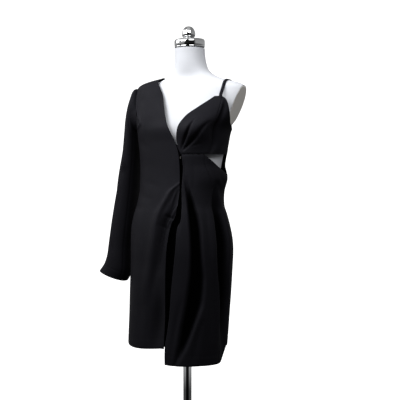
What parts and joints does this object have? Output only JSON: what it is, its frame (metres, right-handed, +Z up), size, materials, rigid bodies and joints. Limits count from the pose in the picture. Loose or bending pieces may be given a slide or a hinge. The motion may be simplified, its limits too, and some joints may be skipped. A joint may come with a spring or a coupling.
{
  "type": "dress on a dress form",
  "caption": "One-sleeved asymmetric wrap dress in black crepe with a draped skirt and a side cutout, worn by a white limbless dress form on a pole and round foot.",
  "frame": {"origin": "a point of the foot's underside, on the floor, 20 mm behind its centre and under the neck", "axes": "+Z up, the dress's front faces -Y, the wearer's left is +X"},
  "size_m": [0.5473, 0.34, 1.5659],
  "materials": {
    "crepe": "matt woven crepe with a faint sheen",
    "form": "white gloss",
    "chrome": "polished"
  },
  "bodies": {
    "root": {"front_right": "crepe", "front_left": "crepe", "side_left": "crepe", "front_underlap": "crepe", "cup_front": "crepe", "cup_side": "crepe", "strap_left": "crepe", "back_right": "crepe", "back_left": "crepe", "sleeve_upper": "crepe", "sleeve_under": "crepe", "front_hook": "chrome", "form_body": "form", "form_neck_cap": "chrome", "form_finial": "chrome", "form_pole": "chrome", "form_socket": "chrome", "form_foot": "chrome"}
  },
  "joints": []
}
